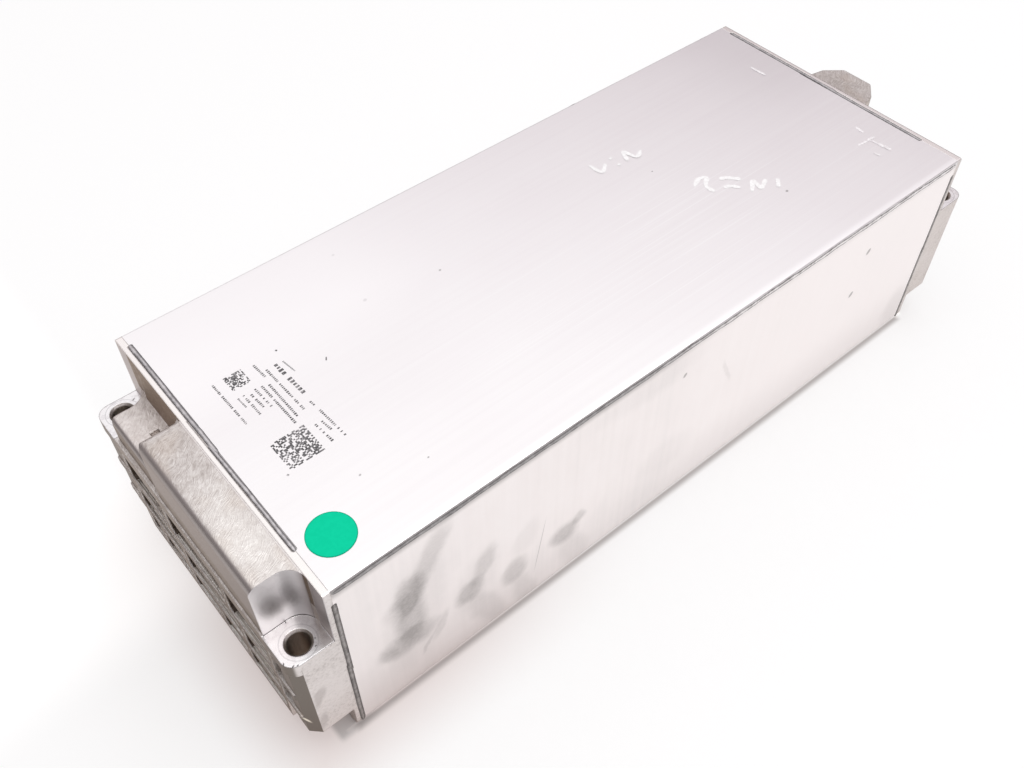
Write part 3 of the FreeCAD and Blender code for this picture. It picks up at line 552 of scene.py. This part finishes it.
# Milled faces and end faces are smoother than the blasted skin, and their relief is weaker
rough = ramp(tree, swirl, [(0.36, 0.50), (0.50, 0.42), (0.64, 0.30)])
for mask, value in ((end_face, 0.34), (pocket_wall, 0.36), (painted_glints, 0.12),
                    (gather(tree, [lug_top, rim_top]), 0.24)):
    rough = blend(tree, mask, rough, (value, value, value))
depth = every(mixed((swirl, 0.55), (strokes, 0.65), (speck, 0.12)),
              without(gather(tree, [lug_top, rim_top, pocket_wall]), 0.97), without(end_face, 0.88),
              without(column, 0.80))
softened = put(tree, "Bevel", {"Radius": 0.0007}, samples=4).outputs[0]
feed(shader, Base_Color=colour, Roughness=rough, Normal=bumps(tree, depth, 0.0005, 0.50, softened))
for name in ("near_end_plate", "far_end_plate"):
    dress(nodes[name], cast)


# Weld seams
# Fine beads laid in two lapping passes round both ends, and one along each long edge. Each ripple
# is a crescent of frozen metal. The beads are sooty at their edges and brighter along the crown.
bead_root = 0.0003
width_waves = ((210, 1.0), (520, 0.6), (1300, 0.4))
drift_waves = ((130, 1.0), (410, 0.5))


def waves(run, parts, phases):
    """Sum of sines along a run. Each part is a pitch in radians per metre and a size."""
    return sum(size * np.sin(run * pitch + phase) for (pitch, size), phase in zip(parts, phases))


def bead(start, finish, width, lift, wander, ripple, seed, step=0.00015):
    """Grid of points of one bead in its own run, across and rise. The width and the centre line wander
    as sums of sines, the crown is a parabola, and crescent ripples run along it. Both ends are blunt."""
    random = np.random.default_rng(seed)
    run = np.arange(start, finish, step)
    run[-1] = finish
    phases = random.uniform(0, 2 * math.pi, 6)
    slow = waves(run, width_waves, phases[:3])
    drift = waves(run, drift_waves, phases[3:5])
    tip = np.clip(np.minimum(run - start, finish - run) / (1.3 * width), 0.02, 1)
    half = width / 2 * (1 + 0.045 * wander * slow) * np.sqrt(1 - (1 - tip) ** 2)
    across = np.array([-1, -0.82, -0.6, -0.35, 0, 0.35, 0.6, 0.82, 1])
    crescents = np.cos(2 * math.pi * (run[:, None] + 0.45 * width * across ** 2) / ripple + phases[5])
    rise = lift * (1 - across ** 2) * (0.88 + 0.12 * crescents) * tip[:, None]
    sideways = 0.00008 * wander * drift[:, None] + half[:, None] * across
    top = np.stack([np.broadcast_to(run[:, None], rise.shape), sideways, rise], axis=2)
    root = top[:, ::-4].copy()
    root[:, :, 2] = -bead_root
    return np.concatenate([top, root], axis=1), np.concatenate([across, [2, 2, 2]])


def joined_tubes(name, tubes):
    """Closed tubes, each a grid of rings whose ends are capped, in one mesh with its across attribute."""
    points, faces, marks, base = [], [], [], 0
    for grid, across in tubes:
        rows, columns = grid.shape[:2]
        index = base + np.arange(rows * columns).reshape(rows, columns)
        following = np.roll(index, -1, axis=1)
        quads = np.stack([index[:-1], following[:-1], following[1:], index[1:]], axis=2).reshape(-1, 4)
        faces += [*quads.tolist(), index[0].tolist(), index[-1, ::-1].tolist()]
        points.append(grid.reshape(-1, 3))
        marks.append(np.tile(across, rows))
        base += rows * columns
    made = mesh_piece(name, np.concatenate(points), faces)
    layer = made.data.attributes.new("across", "FLOAT", "POINT")
    layer.data.foreach_set("value", np.concatenate(marks))
    shell = bmesh.new()
    shell.from_mesh(made.data)
    bmesh.ops.recalc_face_normals(shell, faces=shell.faces)
    shell.to_mesh(made.data)
    shell.free()
    made.data.polygons.foreach_set("use_smooth", [True] * len(made.data.polygons))
    return made


def bead_finish(name, edge, flank, crown, soot=0.0):
    """Dull frozen metal. Its three greys run from the edges of the bead to its crown, in blotches, and
    soot darkens its near half."""
    made, tree, shader = surface(name, Metallic=1.0)
    where = place(tree)
    across = calculate(tree, "ABSOLUTE", put(tree, "Attribute", attribute_name="across").outputs["Fac"])
    blotch = noise(tree, where, (420, 420, 420), 3.0, 0.6)
    grit = noise(tree, where, (2200, 2200, 2200), 2.0)
    tone = mixed((across, -0.62), (blotch, 0.70), (grit, 0.30))
    colour = ramp(tree, tone, [(0.00, edge), (0.24, flank), (0.52, crown)])
    sooty = spread(tree, put(tree, "SeparateXYZ", {0: where}).outputs["X"], 0.05, -0.06, 0.0, soot)
    feed(shader, Base_Color=blend(tree, sooty, colour, (0.18, 0.17, 0.17)),
         Roughness=spread(tree, blotch, 0.35, 0.65, 0.55, 0.36), Normal=bumps(tree, grit, 0.00005, 0.4))
    return made


side_weld = bead_finish("side_weld", (0.15, 0.138, 0.134), (0.25, 0.232, 0.226), (0.40, 0.372, 0.362))
top_weld = bead_finish("top_weld", (0.22, 0.212, 0.218), (0.42, 0.405, 0.415), (0.68, 0.655, 0.66))
edge_weld = bead_finish("edge_weld", (0.20, 0.185, 0.185), (0.62, 0.590, 0.590), (0.98, 0.945, 0.94), 0.72)
joint_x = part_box("cover_plate")[1][0]
side_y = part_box("housing_tray")[1][1]
top_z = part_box("cover_plate")[1][2]
lap_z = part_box("cover_plate")[0][2]
lap = 0.003
seam_shift = 0.00018


def laid(run_start, run_end, middle, seed, to_world, widths=(0.0021, 0.0021)):
    """Two passes that lap at the middle, each shifted a little sideways, placed by to_world."""
    tubes = []
    for number, (start, finish, shift) in enumerate(((run_start, middle + lap, -seam_shift),
                                                     (middle - lap, run_end, seam_shift))):
        grid, marks = bead(start, finish, widths[number], lift=0.0002, wander=1.0, ripple=0.0006,
                           seed=seed + number)
        tubes.append((to_world(grid[:, :, 0], grid[:, :, 1] + shift, grid[:, :, 2]), marks))
    return tubes


for side, end, middle, top_widths in ((-1, "near", 0.0015, (0.0016, 0.0019)),
                                      (1, "far", 0.0, (0.0017, 0.0017))):
    top_tubes = laid(-0.0543, 0.0683, middle, 10 + side, lambda run, across, rise: np.stack(
        [side * joint_x + across, run, top_z + rise], axis=2), top_widths)
    side_tubes = []
    for turned in (-1, 1):
        side_tubes += laid(0.0035, 0.100, 0.052, 20 + side + 3 * turned, lambda run, across, rise: np.stack(
            [side * joint_x + across, turned * (side_y + rise), run], axis=2))
    for name, tubes, finish in ((f"{end}_top_beads", top_tubes, top_weld),
                                (f"{end}_side_beads", side_tubes, side_weld)):
        piece = joined_tubes(name, tubes)
        dress(piece, finish)
        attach(piece, "root")
        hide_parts(f"{end}_weld_seams")

tubes = []
for turned in (-1, 1):
    grid, marks = bead(-joint_x + 0.0006, joint_x - 0.0010, 0.0025, lift=0.00012, wander=2.0, ripple=0.0009,
                       seed=40 + turned, step=0.0003)
    run, across, rise = grid[:, :, 0], grid[:, :, 1], grid[:, :, 2]
    tubes.append((np.stack([run, turned * (side_y + rise), lap_z + across], axis=2), marks))
edge_beads = joined_tubes("long_weld_beads", tubes)
dress(edge_beads, edge_weld)
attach(edge_beads, "root")
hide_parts("long_weld_seams")


# Ink on the cover
# A sprayed label of small grey blocks in rows, and two squares of cells. It holds no letters and
# nothing that can be read. The ink is thin and patchy.
def flat_blocks(name, centres, halves, turns, z):
    """Flat rectangles at one height, from arrays of centres, half sizes and turns in radians."""
    corners = np.array([(-1, -1), (1, -1), (1, 1), (-1, 1)])
    local = halves[:, None, :] * corners[None]
    c, s = np.cos(turns)[:, None], np.sin(turns)[:, None]
    x = centres[:, None, 0] + local[:, :, 0] * c - local[:, :, 1] * s
    y = centres[:, None, 1] + local[:, :, 0] * s + local[:, :, 1] * c
    points = np.stack([x, y, np.full_like(x, z)], axis=2).reshape(-1, 3)
    return mesh_piece(name, points, np.arange(len(points)).reshape(-1, 4).tolist())


ink_lift = 0.00003

# Rows in mm: from X and Y, to X and Y, and height along X
ink_rows = [
    (-161.1, 28.9, -160.7, 3.1, 1.1), (-156.9, 16.7, -156.6, 10.1, 0.8), (-154.5, 16.9, -154.3, 4.5, 1.2),
    (-152.1, 16.5, -151.5, 6.5, 1.2), (-149.5, 16.9, -149.0, 4.1, 1.2), (-146.7, 16.4, -146.4, -7.7, 1.2),
    (-144.1, 15.3, -144.1, -5.3, 1.2), (-141.0, 22.5, -140.4, -4.1, 1.2), (-136.9, 23.0, -136.0, 1.4, 2.2),
    (-136.8, -0.8, -136.3, -5.0, 1.2), (-136.1, -7.7, -135.3, -24.6, 1.2),
    (-138.5, -12.7, -137.8, -19.2, 1.2), (-141.2, -12.4, -140.4, -23.8, 1.2),
    (-143.7, 27.7, -143.2, 19.3, 1.2), (-133.7, 22.0, -132.7, 13.9, 0.7),
]
most_blocks = 200
random = np.random.default_rng(7)
centres, halves, turns = [], [], []
for x0, y0, x1, y1, tall in ink_rows:
    length = math.hypot(x1 - x0, y1 - y0)
    widths = random.uniform(0.35, 0.62, most_blocks) * tall
    ends = np.cumsum(widths + 0.32 * tall + 0.9 * tall * (random.random(most_blocks) > 0.86))
    kept = ends < length
    middles = (ends[kept] - widths[kept] / 2) / length
    centres.append(np.stack([x0 + (x1 - x0) * middles, y0 + (y1 - y0) * middles], axis=1))
    halves.append(np.stack([tall * random.uniform(0.32, 0.5, kept.sum()), widths[kept] / 2], axis=1))
    turns.append(np.full(kept.sum(), -math.atan2(x0 - x1, y0 - y1)))

# Two squares of cells: corner, size and number of cells along a side
for x0, y0, size, count in ((-159.4, -24.9, 14.8, 22), (-156.5, 20.8, 8.0, 15)):
    filled = random.random((count, count)) > 0.50
    cell = size / count
    rows, columns = np.nonzero(filled)
    centres.append(np.stack([x0 + (rows + 0.5) * cell, y0 + (columns + 0.5) * cell], axis=1))
    halves.append(np.full((filled.sum(), 2), cell * 0.5))
    turns.append(np.zeros(filled.sum()))
centres.append(np.array([(-161.3, -25.9), (-132.7, 28.3), (-119.9, 12.0)]))
halves.append(np.array([(0.4, 0.4), (0.4, 0.4), (0.9, 0.25)]))
turns.append(np.array([0.3, 0.6, 1.0]))
ink_skin, tree, shader = surface("label_ink", Roughness=0.6, Specular_IOR_Level=0.2)
where = place(tree)
patchy = noise(tree, where, (1600, 1600, 1600), 2.0, 0.6)
fade = noise(tree, where, (120, 120, 120), 2.0)
feed(shader, Base_Color=ramp(tree, mixed((patchy, 0.7), (fade, 0.3)), [
    (0.42, (0.085, 0.082, 0.085)), (0.52, (0.19, 0.185, 0.19)), (0.62, (0.52, 0.50, 0.51))]))
ink = flat_blocks("label_ink", np.concatenate(centres) / 1000, np.concatenate(halves) / 1000,
                  np.concatenate(turns), top_z + ink_lift)
dress(ink, ink_skin)
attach(ink, "root")


# Pen strokes and chalk
# White paint pen and chalk, put on by hand at the far end of the cover. They are plain strokes.
stroke_lift = 0.00004
between_strokes = 0.00001


def ribbon(points, width, z, steps=14):
    """Ribbon along a smooth curve through points in mm (a Catmull-Rom curve), with rounded ends. It rises
    a little along its run, so that it never lies in its own plane where it turns back."""
    route = np.array(points, float)
    padded = np.vstack([2 * route[0] - route[1], route, 2 * route[-1] - route[-2]])
    share = np.linspace(0, 1, steps, endpoint=False)[:, None]
    spans = []
    for a, b, c, d in zip(padded, padded[1:], padded[2:], padded[3:]):
        spans.append(0.5 * (2 * b + (c - a) * share + (2 * a - 5 * b + 4 * c - d) * share ** 2
                            + (3 * b - a - 3 * c + d) * share ** 3))
    line = np.vstack([*spans, route[-1:]])
    along = np.gradient(line, axis=0)
    along /= np.linalg.norm(along, axis=1)[:, None]
    normal = np.stack([-along[:, 1], along[:, 0]], axis=1)
    place_along = np.linspace(0, 1, len(line))
    half = width / 2 * np.clip(np.minimum(place_along, 1 - place_along) * 14, 0.25, 1) ** 0.5
    half = half * (1 + 0.15 * np.sin(place_along * 17 + points[0][0]))
    left, right = line + normal * half[:, None], line - normal * half[:, None]
    flat = np.stack([left, right], axis=1) / 1000
    rise = z + stroke_lift * np.broadcast_to(place_along[:, None, None], (*flat.shape[:2], 1))
    return np.concatenate([flat, rise], axis=2)


def ribbons(name, strokes, z):
    """One mesh of several ribbons, each a list of points in mm and a width."""
    points, faces, base = [], [], 0
    for number, (route, width) in enumerate(strokes):
        grid = ribbon(route, width, z + number * between_strokes)
        index = base + np.arange(len(grid) * 2).reshape(-1, 2)
        faces += np.stack([index[:-1, 0], index[:-1, 1], index[1:, 1], index[1:, 0]], axis=1).tolist()
        points.append(grid.reshape(-1, 3))
        base += index.size
    return mesh_piece(name, np.concatenate(points), faces)


def on_cover(corner, turn, strokes):
    """Strokes given along and down from a corner in mm, turned by degrees about it."""
    along = np.array((math.cos(math.radians(turn)), math.sin(math.radians(turn))))
    down = np.array((along[1], -along[0]))
    return [([tuple(corner + s * along + t * down) for s, t in route], width) for route, width in strokes]


pen_strokes = on_cover(np.array((72.0, -3.0)), -41, [
    ([(0, 7), (2.5, 1.5), (6, 0.5), (5.5, 6.5), (9, 10.5)], 2.1), ([(12, 1.2), (16, 0.4), (22, 1.2)], 2.3),
    ([(13.5, 7.2), (17, 6.2), (21, 7.2)], 2.1), ([(26, 10), (27.5, 2.5), (30.5, 7.0), (33.5, 1.0)], 2.2),
    ([(39, 0.5), (38.5, 6.5)], 2.0)])
pen_strokes += on_cover(np.array((41.0, 34.5)), -9, [
    ([(0, 0.5), (2.4, 7.6), (7.2, 3.6)], 1.9), ([(11.3, 0.8), (12.0, 2.0)], 1.9),
    ([(12.2, 6.6), (12.9, 7.8)], 1.9), ([(17.5, 7), (19.5, 0.5), (22.8, 6.5), (27.5, 3.5)], 2.0)])
chalk_strokes = [
    ([(160.4, -27.4), (159.4, -32.6)], 1.5), ([(149.5, -37.4), (155, -37.8), (160.6, -37.9)], 1.3),
    ([(157.2, -37.0), (158.0, -43.0)], 1.2), ([(158.0, -42.8), (158.8, -49.4)], 2.0),
    ([(159.8, 39.6), (160.1, 30.1)], 1.5), ([(150.5, -45.5), (151.2, -49.0)], 1.0),
]
pen_skin, tree, shader = surface("paint_pen", Roughness=0.5, Specular_IOR_Level=0.3)
patchy = noise(tree, place(tree), (900, 900, 900), 2.0)
feed(shader, Base_Color=ramp(tree, patchy, [(0.40, (0.90, 0.89, 0.89)), (0.60, (0.98, 0.975, 0.975))]))
chalk_skin, tree, shader = surface("chalk", Roughness=0.9, Specular_IOR_Level=0.1)
patchy = noise(tree, place(tree), (1500, 500, 900), 2.0)
feed(shader, Base_Color=ramp(tree, patchy, [(0.42, (0.77, 0.735, 0.75)), (0.56, (0.93, 0.905, 0.915))]))
for name, strokes, finish in (("paint_pen_strokes", pen_strokes, pen_skin),
                              ("chalk_strokes", chalk_strokes, chalk_skin)):
    piece = ribbons(name, strokes, top_z + stroke_lift)
    dress(piece, finish)
    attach(piece, "root")


# Green dot
# A round paper sticker near the cover's near right corner, with a slightly darker cut edge.
sticker_low, sticker_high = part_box("green_sticker")
sticker_middle = [(a + b) / 2 for a, b in zip(sticker_low, sticker_high)]
sticker_radius = (sticker_high[0] - sticker_low[0]) / 2
paper, tree, shader = surface("sticker_paper", Roughness=0.6, Specular_IOR_Level=0.08)
where = place(tree)
offset = put(tree, "VectorMath", {0: where, 1: sticker_middle}, operation="SUBTRACT").outputs[0]
radius = put(tree, "VectorMath", {0: offset}, operation="LENGTH").outputs["Value"]
fibre = noise(tree, where, (600, 600, 600), 3.0)
green = ramp(tree, fibre, [(0.40, (0.0, 0.640, 0.355)), (0.60, (0.001, 0.665, 0.372))])
rim_shade = spread(tree, radius, sticker_radius - 0.0006, sticker_radius - 0.0001, 0.0, 0.8)
feed(shader, Base_Color=blend(tree, rim_shade, green, (0.0, 0.36, 0.22)),
     Normal=bumps(tree, fibre, 0.00002, 0.2))
dress(nodes["green_sticker"], paper)


# Pouch cells
# Laminated foil bags, silver grey and slightly crinkled, with bare metal tabs at both ends.
def plain_finish(name, dark, light, roughness, metallic=0.0, scale=(300, 300, 300), depth=0.00005):
    """Finish with one grain: a colour that varies between two values, and a matching relief."""
    made, tree, shader = surface(name, Metallic=metallic, Roughness=roughness)
    grain = noise(tree, place(tree), scale, 3.0, 0.55)
    feed(shader, Base_Color=ramp(tree, grain, [(0.38, dark), (0.62, light)]),
         Normal=bumps(tree, grain, depth, 0.5))
    return made


def dress_group(start, finish):
    """Gives every node whose name starts so that finish."""
    for name, node in nodes.items():
        if name.startswith(start):
            dress(node, finish)


foil = plain_finish("foil_laminate", (0.60, 0.60, 0.61), (0.72, 0.72, 0.73), 0.32, metallic=1.0,
                    scale=(60, 200, 60), depth=0.0003)
dress_group("pouch_cell", foil)


# Pads, films and gap filler
# Dark open foam between the cells and over them, thin clear film at the sides, a white sheet
# under the cover and a soft grey-pink filler on the floor.
foam_skin = plain_finish("foam", (0.035, 0.036, 0.038), (0.075, 0.076, 0.080), 0.95, scale=(900, 900, 900),
                         depth=0.0003)
for start in ("pair_pad", "side_pad", "top_pad"):
    dress_group(start, foam_skin)
dress_group("side_film", plain_finish("clear_film", (0.70, 0.72, 0.74), (0.78, 0.80, 0.82), 0.25))
dress_group("top_sheet", plain_finish("sheet_plastic", (0.74, 0.74, 0.72), (0.80, 0.80, 0.78), 0.45))
dress_group("thermal_gap_filler", plain_finish("gap_filler", (0.55, 0.50, 0.50), (0.62, 0.57, 0.57), 0.85))


# Tab carriers, end insulators, collars and signal socket
# Injection-moulded black plastic with a fine spark-eroded grain.
moulded = plain_finish("black_plastic", (0.016, 0.016, 0.018), (0.028, 0.028, 0.031), 0.48,
                       scale=(1800, 1800, 1800), depth=0.00003)
for name in ("near_tab_carrier", "far_tab_carrier", "near_end_insulator", "far_end_insulator",
             "negative_collar", "positive_collar", "signal_socket"):
    dress(nodes[name], moulded)


# Busbars and terminals
# Bare copper links, and terminals whose posts are plated. Both are lightly brushed.
copper = plain_finish("bare_copper", (0.78, 0.38, 0.24), (0.93, 0.52, 0.36), 0.30, metallic=1.0,
                      scale=(60, 1200, 60), depth=0.00003)
for start in ("near_busbar", "far_busbar", "negative_terminal", "positive_terminal"):
    dress_group(start, copper)
pins = plain_finish("plated_pins", (0.82, 0.66, 0.36), (0.92, 0.76, 0.44), 0.22, metallic=1.0)
dress(nodes["connector_pins"], pins)


# Sensing strip and temperature sensors
# An amber flexible circuit, and dark resin beads on it.
amber = plain_finish("flex_circuit", (0.42, 0.19, 0.045), (0.55, 0.27, 0.07), 0.28)
dress(nodes["sensing_strip"], amber)
resin = plain_finish("sensor_resin", (0.05, 0.055, 0.07), (0.09, 0.095, 0.11), 0.4)
dress(nodes["temperature_sensors"], resin)
